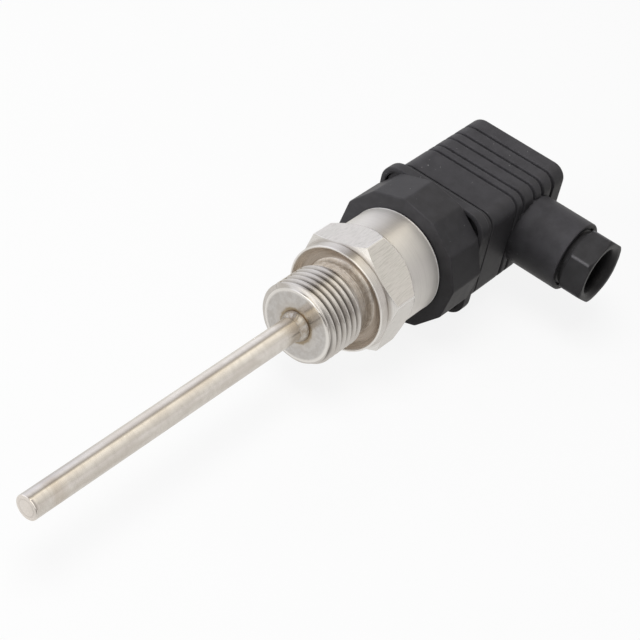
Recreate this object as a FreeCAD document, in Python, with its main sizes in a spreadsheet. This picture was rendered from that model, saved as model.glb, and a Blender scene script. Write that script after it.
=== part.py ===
import FreeCAD, Part
import math
import os
import re

import Sketcher

# Insertion temperature sensor with a pipe thread, a hexagon and a right-angle cable socket.
# Frame: the origin is on the sensor's axis in the plane of the sealing rim. X runs along the axis,
# with the probe tip towards -X and the socket towards +X. The cable outlet points to -Y.
# "Along" is a distance in X from the sealing rim. Millimetres and degrees everywhere.

# A size that starts with "=" follows others in the sheet.
SIZES = {
    # Probe stem
    "stem_radius": 3.0,
    "stem_wall": 0.5,
    "stem_reach": 97.6,
    "stem_seat": 6.0,
    "stem_step": 0.2,
    "tip_thickness": 1.2,
    "tip_round": 0.45,
    "tip_spigot": 1.5,
    "weld_radius": 4.1,
    "weld_length": 2.2,
    "weld_toe": 0.33,
    "weld_crown": 0.77,
    "weld_drop": 0.13,
    # Measuring insert in the stem
    "element_radius": 1.4,
    "element_length": 10.0,
    "rod_gap": 0.15,
    "rod_end": 4.0,
    "wire_radius": 0.25,
    "wire_bore": 0.35,
    "wire_circle": 1.2,
    # Thread nose and neck
    "thread_radius": 10.4775,
    "thread_pitch": 1.814,
    "thread_depth": 1.162,
    "thread_half_angle": 27.5,
    "thread_length": 14.0,
    "thread_turns": 5,
    "first_groove": 11.9,
    "nose_face": 9.0,
    "nose_edge": 9.25,
    "nose_bevel": 0.13,
    "nose_lead": 0.65,
    "neck_radius": 9.5,
    "neck_length": 3.3,
    "undercut_radius": 9.1,
    # Sealing collar
    "collar_radius": 13.5,
    "collar_length": 2.5,
    "recess_depth": 2.4,
    "recess_ramp": 0.8,
    "recess_floor": 11.7,
    "recess_mouth": 13.1,
    "rim_round": 0.12,
    "collar_groove": 13.1,
    "collar_gap": 0.35,
    # Hexagon and barrel
    "hex_across": 27.0,
    "hex_turn": 40.5,
    "hex_front": 3.95,
    "hex_back": 10.05,
    "hex_end": 12.6,
    "barrel_step": 0.85,
    "barrel_radius": "=spigot_radius + barrel_step",
    "barrel_end": 22.45,
    "barrel_bevel": 0.2,
    "spigot_radius": "=ring_across / 2 - ring_wall",
    "spigot_length": 7.0,
    "spigot_wall": 2.6,
    "cavity_radius": "=spigot_radius - spigot_wall",
    "cavity_start": 13.5,
    "wire_way": 2.4,
    "seal_section": 0.54,
    "seal_groove": 1.1,
    "seal_place": 3.6,
    # Twelve-sided ring
    "ring_across": 34.0,
    "ring_wall": 4.4,
    "ring_turn": 26.0,
    "ring_gap": 0.25,
    "ring_length": 11.2,
    "ring_edge": 0.35,
    "slip_fit": 0.05,
    # Plug base
    "skirt_proud": 1.0,
    "skirt_proud_up": 2.1,
    "skirt_half_width": "=box_half_width + skirt_proud",
    "skirt_half_height": "=box_half_height + skirt_proud_up",
    "skirt_corner": "=box_corner + skirt_proud",
    "skirt_length": 2.9,
    "skirt_round": 1.1,
    "skirt_wall": 1.3,
    "skirt_hollow": 2.0,
    "hub_margin": 2.8,
    "hub_radius": "=ring_across / 2 - hub_margin",
    "plug_radius": "=spigot_radius",
    "plug_depth": 3.9,
    "plug_bore": "=cavity_radius",
    "plug_floor": 3.2,
    "flange_length": 5.8,
    "block_margin": 3.8,
    "block_half": "=box_half_width - block_margin",
    "block_height": 3.2,
    "block_corner": 2.65,
    # Contact blades
    "blade_width": 6.3,
    "blade_thick": 0.8,
    "blade_margin": 1.6,
    "blade_circle": "=block_half - blade_margin",
    "blade_reach": 10.8,
    "tail_width": 1.6,
    "tail_margin": 0.7,
    "tail_circle": "=board_radius - tail_margin",
    "jog_length": 1.0,
    "blade_fit": 0.02,
    # Board in the barrel
    "board_gap": 0.3,
    "board_radius": "=cavity_radius - board_gap",
    "board_thick": 1.2,
    "board_place": 25.0,
    # Threaded bush and fixing screw
    "bush_radius": 2.6,
    "bush_length": 8.5,
    "screw_radius": 1.5,
    "screw_bite": 7.0,
    "screw_clearance": 0.05,
    "screw_passage": 1.9,
    "head_radius": 2.8,
    "head_height": 2.0,
    "head_slot": 0.8,
    "head_pocket": 3.2,
    "head_sink": 3.0,
    "seal_thick": 0.8,
    # Socket housing
    "box_half_width": 14.4,
    "box_flatter": 1.4,
    "box_half_height": "=box_half_width - box_flatter",
    "box_corner": 3.8,
    "box_length": 31.3,
    "box_end_round": 1.9,
    "box_wall": 2.2,
    "box_back": 4.4,
    "parting_gap": 0.35,
    "gasket_thick": 0.9,
    "gasket_inset": 1.0,
    "gasket_bore": 0.3,
    "groove_width": 0.6,
    "groove_depth": 0.65,
    "groove_one": 50.3,
    "groove_two": 53.3,
    "groove_three": 57.9,
    "groove_four": 61.4,
    "groove_five": 65.9,
    # Terminal insert and its contacts
    "insert_fit": 0.25,
    "insert_length": 14.5,
    "clip_width": 7.2,
    "clip_thick": 3.4,
    "clip_front": 1.0,
    "clip_inset": 0.2,
    "terminal_screw_radius": 1.25,
    "terminal_screw_length": 3.2,
    "terminal_head_radius": 1.9,
    "terminal_head_height": 1.6,
    # Cable outlet and gland
    "outlet_place": 59.4,
    "outlet_radius": 9.25,
    "outlet_stub": 14.2,
    "outlet_reach": "=box_half_width + outlet_stub",
    "outlet_bevel": 0.5,
    "gland_bore": 8.0,
    "gland_depth": 12.0,
    "gland_seat": "=outlet_reach - gland_depth",
    "gland_way": 6.4,
    "seal_length": 4.6,
    "seal_bore": 3.6,
    "seal_radius": 7.7,
    "washer_thick": 0.8,
    "washer_bore": 5.2,
    "nut_across": 16.0,
    "nut_turn": 22.0,
    "nut_gap": 1.35,
    "nut_head": 6.3,
    "nut_bore": 5.6,
    "nut_lip": 1.3,
    "nut_neck": 7.2,
    "nut_thread": 7.95,
    "nut_bevel": 0.8,
    "nut_inner_bevel": 0.4,
    "nut_flare": 1.04,
    "nut_flare_depth": 0.39,
    "nut_shoulder": 0.675,
    # How far a cutting tool stands out of what it cuts
    "overrun": 1.0,
}

# Board parts, in shares of the board's radius: how far each stands forwards, its lowest place
# across and up, and its size across and up
BOARD_PARTS = [(0.165, -0.722, -0.258, 0.515, 0.515), (0.227, 0.268, 0.268, 0.330, 0.268),
               (0.103, 0.268, -0.454, 0.206, 0.124), (0.103, -0.247, 0.454, 0.206, 0.124),
               (0.103, 0.536, -0.144, 0.124, 0.206), (0.289, -0.474, -0.680, 0.412, 0.247)]

doc = FreeCAD.newDocument("temperature_sensor")
sheet = doc.addObject("Spreadsheet::Sheet", "params")
for row, (alias, size) in enumerate(SIZES.items(), start=1):
    sheet.set(f"A{row}", alias)
    sheet.set(f"B{row}", str(size))
    sheet.setAlias(f"B{row}", alias)
doc.recompute()

# Places along the axis, each worked out from the sizes in the sheet
NOSE = "-thread_length"
TIP = "-stem_reach"
TUBE_END = f"({NOSE} + stem_seat)"
WELD_END = f"({NOSE} - weld_length)"
STEM_SEAT = "(stem_radius - stem_step)"
ELEMENT_FRONT = f"({TIP} + tip_thickness + tip_spigot)"
ROD_FRONT = f"({ELEMENT_FRONT} + element_length)"
CONE_FRONT = "(collar_length + collar_gap)"
RING_FRONT = "(barrel_end + ring_gap)"
RING_REAR = f"({RING_FRONT} + ring_length)"
SPIGOT_REAR = "(barrel_end + spigot_length)"
FLANGE_REAR = f"({RING_REAR} + flange_length)"
BLOCK_REAR = f"({FLANGE_REAR} + block_height)"
PLUG_FRONT = f"({RING_REAR} - plug_depth)"
BASE_FLOOR = f"({FLANGE_REAR} - plug_floor)"
BOARD_REAR = "(board_place + board_thick)"
BOX_FRONT = f"({FLANGE_REAR} + parting_gap)"
BOX_REAR = f"({BOX_FRONT} + box_length)"
GASKET_REAR = f"({FLANGE_REAR} + gasket_thick)"
CHAMBER_REAR = f"({BOX_REAR} - box_back)"
INSERT_FRONT = f"({BLOCK_REAR} + insert_fit)"
INSERT_REAR = f"({INSERT_FRONT} + insert_length)"
BLADE_END = f"({BLOCK_REAR} + blade_reach)"
BUSH_FRONT = f"({BLOCK_REAR} - bush_length)"
HEAD_SEAT = f"({BOX_REAR} - head_sink + seal_thick)"
SCREW_TIP = f"({BLOCK_REAR} - screw_bite)"

# Distances outwards from the axis along the cable outlet
SEAL_OUT = "(gland_seat + seal_length)"
WASHER_OUT = f"({SEAL_OUT} + washer_thick)"
HEAD_IN = "(outlet_reach + nut_gap)"
HEAD_OUT = f"({HEAD_IN} + nut_head)"

ALONG_X = FreeCAD.Rotation(FreeCAD.Vector(0, 1, 0), 90)
NO_TURN = FreeCAD.Rotation()
TO_OUTLET = FreeCAD.Rotation(FreeCAD.Vector(0, 0, 1), -90)
NODES = {}


def bound(text):
    """The expression with each size's name pointing at its cell in the sheet."""
    return re.sub(r"[a-z_]+", lambda word: f"params.{word[0]}" if word[0] in SIZES else word[0], str(text))


def number(text):
    """The value of an expression now."""
    return float(sheet.evalExpression(bound(text)))


def bind(item, prop, text):
    item.setExpression(prop, bound(text))


def node(label, item):
    """Name a finished piece, so that it is checked and written."""
    item.Label = label
    NODES[label] = item
    return item


def origin_plane(body, role):
    return next(entry for entry in body.Origin.OriginFeatures if entry.Role == role)


def sketch_on(body, name, role, offset="0"):
    """An empty sketch on one of the body's own planes, moved along the plane's normal."""
    sketch = body.newObject("Sketcher::SketchObject", name)
    sketch.AttachmentSupport = [(origin_plane(body, role), "")]
    sketch.MapMode = "FlatFace"
    bind(sketch, "AttachmentOffset.Base.z", offset)
    return sketch


def hold(sketch, kind, edge, point, text):
    """Hold one coordinate of a point at an expression, whichever side of the origin it is on."""
    value = number(text)
    if abs(value) < 1e-9:
        axis = -2 if kind == "DistanceX" else -1
        sketch.addConstraint(Sketcher.Constraint("PointOnObject", edge, point, axis))
        return
    if value > 0:
        rule = Sketcher.Constraint(kind, -1, 1, edge, point, value)
        index = sketch.addConstraint(rule)
        bind(sketch, f"Constraints[{index}]", text)
        return
    rule = Sketcher.Constraint(kind, edge, point, -1, 1, -value)
    index = sketch.addConstraint(rule)
    bind(sketch, f"Constraints[{index}]", f"-({text})")


def add_polygon(sketch, points):
    """A closed outline of straight edges, each corner held by two expressions."""
    corners = [FreeCAD.Vector(number(across), number(up), 0) for across, up in points]
    first = sketch.GeometryCount
    total = len(corners)
    for step in range(total):
        sketch.addGeometry(Part.LineSegment(corners[step], corners[(step + 1) % total]), False)
    for step in range(total):
        following = first + (step + 1) % total
        sketch.addConstraint(Sketcher.Constraint("Coincident", first + step, 2, following, 1))
    for step, (across, up) in enumerate(points):
        hold(sketch, "DistanceX", first + step, 1, across)
        hold(sketch, "DistanceY", first + step, 1, up)


def add_circle(sketch, across, up, radius):
    centre = FreeCAD.Vector(number(across), number(up), 0)
    edge = sketch.addGeometry(Part.Circle(centre, FreeCAD.Vector(0, 0, 1), number(radius)), False)
    hold(sketch, "DistanceX", edge, 3, across)
    hold(sketch, "DistanceY", edge, 3, up)
    index = sketch.addConstraint(Sketcher.Constraint("Radius", edge, number(radius)))
    bind(sketch, f"Constraints[{index}]", radius)


def add_rounded(sketch, half_across, half_up, corner):
    """A rectangle with round corners about the sketch's origin."""
    wide = number(half_across)
    high = number(half_up)
    bend = number(corner)
    first = sketch.GeometryCount
    inner = [(wide - bend, high - bend), (bend - wide, high - bend),
             (bend - wide, bend - high), (wide - bend, bend - high)]
    ends = [((wide - bend, high), (bend - wide, high)), ((-wide, high - bend), (-wide, bend - high)),
            ((bend - wide, -high), (wide - bend, -high)), ((wide, bend - high), (wide, high - bend))]
    for start, end in ends:
        edge = Part.LineSegment(FreeCAD.Vector(*start, 0), FreeCAD.Vector(*end, 0))
        sketch.addGeometry(edge, False)
    quarter = math.pi / 2
    for step, centre in enumerate(inner):
        circle = Part.Circle(FreeCAD.Vector(*centre, 0), FreeCAD.Vector(0, 0, 1), bend)
        sketch.addGeometry(Part.ArcOfCircle(circle, step * quarter, (step + 1) * quarter), False)
    for step in range(4):
        line = first + step
        arc = first + 4 + step
        previous_line = first + (step - 1) % 4
        sketch.addConstraint(Sketcher.Constraint("Tangent", arc, 2, line, 1))
        sketch.addConstraint(Sketcher.Constraint("Tangent", previous_line, 2, arc, 1))
        flat = "Horizontal" if step % 2 == 0 else "Vertical"
        sketch.addConstraint(Sketcher.Constraint(flat, line))
        if step > 0:
            sketch.addConstraint(Sketcher.Constraint("Equal", first + 4, arc))
    index = sketch.addConstraint(Sketcher.Constraint("Radius", first + 4, bend))
    bind(sketch, f"Constraints[{index}]", corner)
    hold(sketch, "DistanceY", first, 1, half_up)
    hold(sketch, "DistanceX", first + 1, 1, f"-({half_across})")
    hold(sketch, "DistanceY", first + 2, 1, f"-({half_up})")
    hold(sketch, "DistanceX", first + 3, 1, half_across)


def regular(sides, across_flats, turn):
    """Corners of a regular polygon, as expressions, from its size across flats."""
    reach = f"({across_flats}) / 2 / cos({180 / sides} deg)"
    angles = [f"(({turn}) * 1 deg + {360 * step / sides} deg)" for step in range(sides)]
    return [(f"{reach} * cos({angle})", f"{reach} * sin({angle})") for angle in angles]


def body_named(name):
    return doc.addObject("PartDesign::Body", name)


def spin(body, name, points, kind="PartDesign::Revolution"):
    """Turn an outline of (along, radius) pairs about the body's X axis, adding or cutting."""
    sketch = sketch_on(body, f"{name}_outline", "XY_Plane")
    add_polygon(sketch, points)
    feature = body.newObject(kind, name)
    feature.Profile = sketch
    feature.ReferenceAxis = (sketch, ["H_Axis"])
    feature.Angle = 360
    body.Tip = feature
    return feature


def pad(body, sketch, name, length):
    feature = body.newObject("PartDesign::Pad", name)
    feature.Profile = sketch
    bind(feature, "Length", length)
    body.Tip = feature
    return feature


def pocket(body, sketch, name, length, forwards=True):
    """Cut a sketch's shape, forwards along the sketch's normal or back from it."""
    feature = body.newObject("PartDesign::Pocket", name)
    feature.Profile = sketch
    feature.Reversed = forwards
    bind(feature, "Length", length)
    body.Tip = feature
    return feature


def dress(body, kind, name, size, wanted):
    """Round or bevel the edges of the body's last feature that the test picks out."""
    doc.recompute()
    last = body.Tip
    picked = [f"Edge{place}" for place, edge in enumerate(last.Shape.Edges, start=1) if wanted(edge)]
    feature = body.newObject(kind, name)
    feature.Base = (last, picked)
    bind(feature, "Radius" if kind.endswith("Fillet") else "Size", size)
    body.Tip = feature
    return feature


def lies_at(edge, axis, place):
    """True where the whole edge is in the plane at that place on the axis."""
    low = getattr(edge.BoundBox, f"{axis}Min")
    high = getattr(edge.BoundBox, f"{axis}Max")
    return abs(low - place) < 1e-4 and abs(high - place) < 1e-4


def turned(label, points, placed=None):
    """A whole piece turned from one outline."""
    body = body_named(f"{label}_body")
    spin(body, f"{label}_turning", points)
    if placed:
        placed(body)
    return node(label, body)


def on_outlet(item):
    """Lay a piece that was made along X onto the cable outlet's axis, which runs to -Y."""
    item.Placement = FreeCAD.Placement(FreeCAD.Vector(), TO_OUTLET)
    bind(item, "Placement.Base.x", "outlet_place")


def rounded_block(name, half_across, half_up, corner, start, length):
    """A straight block along X with round corners, about the axis."""
    body = body_named(name)
    sketch = sketch_on(body, f"{name}_outline", "YZ_Plane", start)
    add_rounded(sketch, half_across, half_up, corner)
    pad(body, sketch, f"{name}_pad", length)
    return body


def box(name, low, size):
    """A plain box from its lowest corner and its three sizes."""
    item = doc.addObject("Part::Box", name)
    for prop, text in zip(("Length", "Width", "Height"), size):
        bind(item, prop, text)
    for prop, text in zip("xyz", low):
        bind(item, f"Placement.Base.{prop}", text)
    return item


def rod(name, radius, start, length, across="0", up="0"):
    """A round bar along X."""
    item = doc.addObject("Part::Cylinder", name)
    item.Placement = FreeCAD.Placement(FreeCAD.Vector(), ALONG_X)
    bind(item, "Radius", radius)
    bind(item, "Height", length)
    for prop, text in zip("xyz", (start, across, up)):
        bind(item, f"Placement.Base.{prop}", text)
    return item


def cut(name, base, tools):
    """The base with each tool taken away."""
    if len(tools) > 1:
        gathered = doc.addObject("Part::MultiFuse", f"{name}_tools")
        gathered.Shapes = tools
    else:
        gathered = tools[0]
    item = doc.addObject("Part::Cut", name)
    item.Base = base
    item.Tool = gathered
    return item


def fuse(name, pieces):
    item = doc.addObject("Part::MultiFuse", name)
    item.Shapes = pieces
    return item


def group(name, pieces):
    """Like solids that share one node, kept apart from each other."""
    item = doc.addObject("Part::Compound", name)
    item.Links = pieces
    return item


def make_stem():
    """Closed tube, its welded end disc and the ring weld at the thread nose."""
    shoulder = f"{TIP} + tip_thickness"
    inside = "stem_radius - stem_wall"
    turned("stem_tube", [
        (shoulder, inside), (shoulder, "stem_radius"), (WELD_END, "stem_radius"), (WELD_END, STEM_SEAT),
        (TUBE_END, STEM_SEAT), (TUBE_END, inside)])
    cap = body_named("stem_tip_body")
    spin(cap, "stem_tip_turning", [
        (TIP, "0"), (TIP, "stem_radius"), (shoulder, "stem_radius"), (shoulder, inside),
        (f"{shoulder} + tip_spigot", inside), (f"{shoulder} + tip_spigot", "0")])
    place = number(TIP)
    dress(cap, "PartDesign::Fillet", "stem_tip_round", "tip_round", lambda edge: lies_at(edge, "X", place))
    node("stem_tip", cap)
    turned("weld_bead", [
        (WELD_END, STEM_SEAT), (WELD_END, "stem_radius"),
        (f"{WELD_END} + weld_toe", "stem_radius + weld_toe"),
        (f"{NOSE} - weld_crown", "weld_radius - weld_drop"), (NOSE, "weld_radius"), (NOSE, STEM_SEAT)])


def make_measuring_insert():
    """Resistance element at the tip, the four-bore rod behind it, and the wires to the board."""
    node("sensing_element", rod("element", "element_radius", ELEMENT_FRONT, "element_length"))
    rod_radius = "stem_radius - stem_wall - rod_gap"
    rod_length = f"-rod_end - {ROD_FRONT}"
    wire_length = f"board_place - {ROD_FRONT}"
    solid = rod("insulator_blank", rod_radius, ROD_FRONT, rod_length)
    bores = []
    wires = []
    for step in range(4):
        across = f"wire_circle * cos({45 + 90 * step} deg)"
        up = f"wire_circle * sin({45 + 90 * step} deg)"
        bores.append(rod(f"rod_bore_{step + 1}", "wire_bore", ROD_FRONT, rod_length, across, up))
        wires.append(rod(f"wire_{step + 1}", "wire_radius", ROD_FRONT, wire_length, across, up))
    node("insulator_rod", cut("insulator", solid, bores))
    node("lead_wires", group("lead_wire_group", wires))


def make_fitting():
    """Thread nose, neck, dished collar, hexagon and barrel, turned and milled from one bar."""
    corner = "hex_across / 2 / cos(30 deg)"
    blank = [
        (NOSE, f"{STEM_SEAT} + slip_fit / 2"), (NOSE, "nose_face"), (f"{NOSE} + nose_bevel", "nose_edge"),
        (f"{NOSE} + nose_lead", "thread_radius"), ("-neck_length", "thread_radius"),
        ("-neck_length + thread_radius - neck_radius", "neck_radius"), ("0", "neck_radius"),
        ("neck_radius - undercut_radius", "undercut_radius"),
        ("recess_depth - recess_ramp", "undercut_radius"),
        ("recess_depth", "undercut_radius + recess_ramp"), ("recess_depth", "recess_floor"), ("0", "recess_mouth"), ("0", "collar_radius - rim_round"),
        ("rim_round", "collar_radius"), ("collar_length", "collar_radius"),
        ("collar_length", "collar_groove"), (CONE_FRONT, "collar_groove"),
        ("hex_front", corner), ("hex_back", corner), ("hex_end", "barrel_radius"),
        ("barrel_end - barrel_bevel", "barrel_radius"), ("barrel_end", "barrel_radius - barrel_bevel"),
        ("barrel_end", "spigot_radius"), (SPIGOT_REAR, "spigot_radius"), (SPIGOT_REAR, "cavity_radius"),
        ("cavity_start", "cavity_radius"), ("cavity_start - cavity_radius + wire_way", "wire_way"),
        (TUBE_END, "wire_way"), (TUBE_END, f"{STEM_SEAT} + slip_fit / 2")]
    body = body_named("process_fitting_body")
    spin(body, "fitting_turning", blank)
    frame = sketch_on(body, "hexagon_outline", "YZ_Plane", CONE_FRONT)
    add_polygon(frame, regular(6, "hex_across", "hex_turn"))
    add_circle(frame, "0", "0", "hex_across")
    pocket(body, frame, "hexagon_milling", f"hex_end - {CONE_FRONT}")
    seal_middle = "barrel_end + seal_place"
    floor = "spigot_radius - seal_groove"
    spin(body, "seal_groove", [
        (f"{seal_middle} - seal_groove", floor), (f"{seal_middle} + seal_groove", floor),
        (f"{seal_middle} + seal_groove", "spigot_radius + overrun"),
        (f"{seal_middle} - seal_groove", "spigot_radius + overrun")], "PartDesign::Groove")
    half_width = "thread_depth * tan(thread_half_angle * 1 deg)"
    first = spin(body, "thread_groove", [
        ("-first_groove", "thread_radius - thread_depth"),
        (f"-first_groove + 2 * ({half_width})", "thread_radius + thread_depth"),
        (f"-first_groove - 2 * ({half_width})", "thread_radius + thread_depth")], "PartDesign::Groove")
    turns = body.newObject("PartDesign::LinearPattern", "thread_turns")
    turns.Originals = [first]
    turns.Direction = (origin_plane(body, "X_Axis"), [""])
    bind(turns, "Length", "thread_pitch * (thread_turns - 1)")
    bind(turns, "Occurrences", "thread_turns")
    body.Tip = turns
    node("process_fitting", body)


def ring_seal(label, along, middle, section):
    """An O-ring about the sensor's axis."""
    item = doc.addObject("Part::Torus", f"{label}_ring")
    item.Placement = FreeCAD.Placement(FreeCAD.Vector(), ALONG_X)
    bind(item, "Radius1", middle)
    bind(item, "Radius2", section)
    bind(item, "Placement.Base.x", along)
    return node(label, item)


def make_ring():
    """Twelve-sided black ring: front bore on the steel spigot, rear bore round the plug."""
    body = body_named("twelve_sided_ring_body")
    sketch = sketch_on(body, "ring_outline", "YZ_Plane", RING_FRONT)
    add_polygon(sketch, regular(12, "ring_across", "ring_turn"))
    pad(body, sketch, "ring_pad", "ring_length")
    front = number(RING_FRONT)
    rear = number(RING_REAR)
    dress(body, "PartDesign::Chamfer", "ring_edges", "ring_edge",
          lambda edge: lies_at(edge, "X", front) or lies_at(edge, "X", rear))
    bore = sketch_on(body, "ring_bore_outline", "YZ_Plane", RING_FRONT)
    add_circle(bore, "0", "0", "spigot_radius + slip_fit")
    pocket(body, bore, "ring_bore", "ring_length")
    node("twelve_sided_ring", body)
    ring_seal("body_oring", "barrel_end + seal_place",
              "spigot_radius - seal_groove + seal_section + slip_fit / 5", "seal_section")


def pin_places():
    """Name, axis and side of each of the four contacts."""
    return [("contact_pin_1", "y", 1), ("contact_pin_2", "y", -1),
            ("contact_pin_3", "z", 1), ("ground_pin", "z", -1)]


def at_pin(name, axis, side, start, length, tangent, radial, shift="0"):
    """A box along X, centred on one contact: its size round the circle, and its size outwards."""
    centre = f"{side} * (blade_circle + ({shift}))"
    if axis == "y":
        low = (start, f"{centre} - ({radial}) / 2", f"-({tangent}) / 2")
        return box(name, low, (length, radial, tangent))
    low = (start, f"-({tangent}) / 2", f"{centre} - ({radial}) / 2")
    return box(name, low, (length, tangent, radial))


def jog(name, axis, side, width, fit="0"):
    """The bend that joins a contact's blade to its tail, wherever the two lie."""
    reach = f"abs(tail_circle - blade_circle) + blade_thick + 2 * ({fit})"
    middle = "(tail_circle - blade_circle) / 2"
    return at_pin(name, axis, side, BASE_FLOOR, "jog_length", width, reach, middle)


def make_plug_base():
    """Black plug: spigot in the ring, flange with hollow corners, and the block round the blades."""
    skirt = rounded_block("skirt", "skirt_half_width", "skirt_half_height", "skirt_corner", RING_REAR,
                          "skirt_length")
    inner = f"{BASE_FLOOR} - {PLUG_FRONT}"
    rear = number(f"{RING_REAR} + skirt_length")
    dress(skirt, "PartDesign::Fillet", "skirt_shoulder", "skirt_round",
          lambda edge: lies_at(edge, "X", rear))
    hollow = rounded_block("skirt_inside", "skirt_half_width - skirt_wall", "skirt_half_height - skirt_wall",
                           "skirt_corner - skirt_wall / 2", f"{RING_REAR} - overrun",
                           "skirt_hollow + overrun")
    hub = rod("skirt_hub", "hub_radius", f"{RING_REAR} - 2 * overrun", "skirt_hollow + 4 * overrun")
    corners = cut("skirt_corners", hollow, [hub])
    shell = cut("skirt_shell", skirt, [corners])
    plate = rounded_block("flange_plate", "box_half_width", "box_half_height", "box_corner",
                          f"{RING_REAR} + skirt_hollow", "flange_length - skirt_hollow")
    block = rounded_block("pin_block", "block_half", "block_half", "block_corner", BASE_FLOOR,
                          f"{BLOCK_REAR} - {BASE_FLOOR}")
    spigot = rod("plug_spigot", "plug_radius", PLUG_FRONT, inner)
    solid = fuse("plug_solid", [shell, plate, block, spigot])
    through = f"{BLOCK_REAR} - {BASE_FLOOR} + 2 * overrun"
    tools = [rod("plug_cavity", "plug_bore", f"{PLUG_FRONT} - overrun", f"{inner} + overrun"),
             rod("bush_hole", "bush_radius", f"{BASE_FLOOR} - overrun", through)]
    for name, axis, side in pin_places():
        tools.append(at_pin(f"{name}_slot", axis, side, f"{BASE_FLOOR} - overrun", through,
                            "blade_width + 2 * blade_fit", "blade_thick + 2 * blade_fit"))
        tools.append(jog(f"{name}_jog_slot", axis, side, "tail_width + 2 * blade_fit", "blade_fit"))
    node("plug_base", cut("plug_base_cut", solid, tools))
    for name, axis, side in pin_places():
        blade = at_pin(f"{name}_blade", axis, side, BASE_FLOOR, f"{BLADE_END} - {BASE_FLOOR}",
                       "blade_width", "blade_thick")
        tail = at_pin(f"{name}_tail", axis, side, BOARD_REAR, f"{BASE_FLOOR} - {BOARD_REAR}",
                      "tail_width", "blade_thick", "tail_circle - blade_circle")
        bend = jog(f"{name}_jog", axis, side, "tail_width")
        node(name, fuse(f"{name}_whole", [blade, bend, tail]))
    bush = rod("bush_blank", "bush_radius", BUSH_FRONT, "bush_length")
    thread = rod("bush_bore", "screw_radius + screw_clearance", BUSH_FRONT, "bush_length")
    node("screw_bush", cut("bush", bush, [thread]))


def make_board():
    """Round transmitter board soldered to the blades' tails, with its parts on the front face."""
    disc = rod("board_disc", "board_radius", "board_place", "board_thick")
    node("transmitter_board", disc)
    blocks = []
    for step, shares in enumerate(BOARD_PARTS, start=1):
        tall, across, up, wide, high = (f"board_radius * ({share})" for share in shares)
        low = (f"board_place - {tall}", across, up)
        blocks.append(box(f"board_part_{step}", low, (tall, wide, high)))
    node("board_components", group("board_part_group", blocks))


def make_gasket():
    """Flat seal in the parting line, open round the pin block."""
    body = body_named("profile_gasket_body")
    sketch = sketch_on(body, "gasket_outline", "YZ_Plane", FLANGE_REAR)
    add_rounded(sketch, "box_half_width - gasket_inset", "box_half_height - gasket_inset",
                "box_corner - gasket_inset")
    add_rounded(sketch, "block_half + gasket_bore", "block_half + gasket_bore", "block_corner + gasket_bore")
    pad(body, sketch, "gasket_pad", "gasket_thick")
    node("profile_gasket", body)


def make_housing():
    """Socket housing: grooved box with a round side outlet, hollow from the front."""
    body = body_named("socket_housing_body")
    outline = sketch_on(body, "box_outline", "YZ_Plane", BOX_FRONT)
    add_rounded(outline, "box_half_width", "box_half_height", "box_corner")
    pad(body, outline, "box_pad", "box_length")
    rear = number(BOX_REAR)
    dress(body, "PartDesign::Fillet", "box_end", "box_end_round", lambda edge: lies_at(edge, "X", rear))
    for name in ("one", "two", "three", "four", "five"):
        groove = sketch_on(body, f"groove_{name}_outline", "YZ_Plane", f"groove_{name} - groove_width / 2")
        add_circle(groove, "0", "0", "box_half_width + box_half_height")
        add_rounded(groove, "box_half_width - groove_depth", "box_half_height - groove_depth",
                    "box_corner - groove_depth")
        pocket(body, groove, f"groove_{name}_cut", "groove_width")
    stub = sketch_on(body, "outlet_outline", "XZ_Plane", "box_half_width - box_wall")
    add_circle(stub, "outlet_place", "0", "outlet_radius")
    pad(body, stub, "outlet_pad", "outlet_reach - box_half_width + box_wall")
    end = -number("outlet_reach")
    dress(body, "PartDesign::Chamfer", "outlet_edge", "outlet_bevel", lambda edge: lies_at(edge, "Y", end))
    chamber = sketch_on(body, "chamber_outline", "YZ_Plane", BOX_FRONT)
    add_rounded(chamber, "box_half_width - box_wall", "box_half_height - box_wall",
                "box_corner - box_wall / 2")
    pocket(body, chamber, "chamber", f"{CHAMBER_REAR} - {BOX_FRONT}")
    step = sketch_on(body, "gasket_step_outline", "YZ_Plane", BOX_FRONT)
    inset = "(gasket_inset - slip_fit)"
    add_rounded(step, f"box_half_width - {inset}", f"box_half_height - {inset}", f"box_corner - {inset}")
    pocket(body, step, "gasket_step", "gasket_thick - parting_gap")
    bores = [("gland_thread_bore", "gland_bore", "gland_seat", "outlet_reach - gland_seat"),
             ("gland_way_bore", "gland_way", "box_half_width - 2 * box_wall", "gland_seat")]
    for name, radius, start, length in bores:
        hole = sketch_on(body, f"{name}_outline", "XZ_Plane", start)
        add_circle(hole, "outlet_place", "0", radius)
        pocket(body, hole, name, length)
    holes = [("head_sinking", "head_pocket", f"{BOX_REAR} - head_sink", "head_sink"),
             ("screw_hole", "screw_radius + 2 * screw_clearance", f"{CHAMBER_REAR} - overrun",
              "box_back + overrun")]
    for name, radius, start, length in holes:
        hole = sketch_on(body, f"{name}_outline", "YZ_Plane", start)
        add_circle(hole, "0", "0", radius)
        pocket(body, hole, name, length)
    node("socket_housing", body)


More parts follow.
